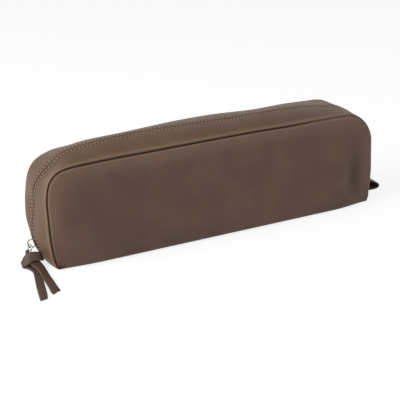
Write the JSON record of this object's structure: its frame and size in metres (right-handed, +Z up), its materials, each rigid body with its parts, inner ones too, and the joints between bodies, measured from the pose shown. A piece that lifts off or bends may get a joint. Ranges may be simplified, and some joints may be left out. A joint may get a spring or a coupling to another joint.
{
  "type": "zipped pencil case",
  "caption": "Long rounded leather pencil case with a domed gusset, a concealed zip round the ends and top, a hitched leather puller and a folded end tab.",
  "frame": {"origin": "on the ground under the middle of the bottom panel, without the puller and the end tab", "axes": "+X along the case towards the end tab, -Y out of the front face, +Z up"},
  "size_m": [0.2405, 0.0739, 0.0667],
  "materials": {
    "hide": "full-grain calf, semi-matt, dark brown",
    "strap_leather": "full-grain thong, semi-matt, dark brown",
    "board": "bonded leather board",
    "lining": "cotton twill",
    "tape": "woven polyester tape",
    "coil": "nylon coil",
    "nickel": "bright nickel plate on zinc"
  },
  "bodies": {
    "base": {"rear_panel": "hide", "bottom_panel": "hide", "rear_gusset": "hide", "zip_end_patch": "hide", "end_tab": "hide", "rear_board": "board", "bottom_board": "board", "rear_lining": "lining", "bottom_lining": "lining", "rear_gusset_lining": "lining", "rear_zip_tape": "tape", "rear_zip_coil": "coil", "front_top_stop": "nickel", "rear_top_stop": "nickel", "bottom_stop": "nickel"},
    "front_half": {"front_panel": "hide", "front_board": "board", "front_lining": "lining", "front_gusset": "hide", "front_gusset_lining": "lining", "front_zip_tape": "tape", "front_zip_coil": "coil"},
    "slider": {"slider_body": "nickel"},
    "bail": {"pull_bail": "nickel"},
    "puller": {"leather_strap": "strap_leather"}
  },
  "joints": [
    {"name": "mouth_open", "type": "hinge", "parent": "base", "child": "front_half", "pos_m": [0, -0.0208, 0.003], "axis": [1, 0, 0], "range_deg": [0, 25], "deforming": ["front_zip_tape", "front_zip_coil"]},
    {"name": "slider_travel", "type": "hinge", "parent": "base", "child": "slider", "pos_m": [-0.0519, 0, 0.01915], "axis": [0, 1, 0], "range_deg": [0, 25], "deforming": ["front_zip_tape", "rear_zip_tape", "front_zip_coil", "rear_zip_coil"]},
    {"name": "bail_swing", "type": "hinge", "parent": "slider", "child": "bail", "pos_m": [-0.11188, 0, 0.00893], "axis": [0, 1, 0], "range_deg": [0, 80]},
    {"name": "puller_swing", "type": "hinge", "parent": "bail", "child": "puller", "pos_m": [-0.11383, 0, 0.00476], "axis": [0, 1, 0], "range_deg": [0, 60]}
  ]
}
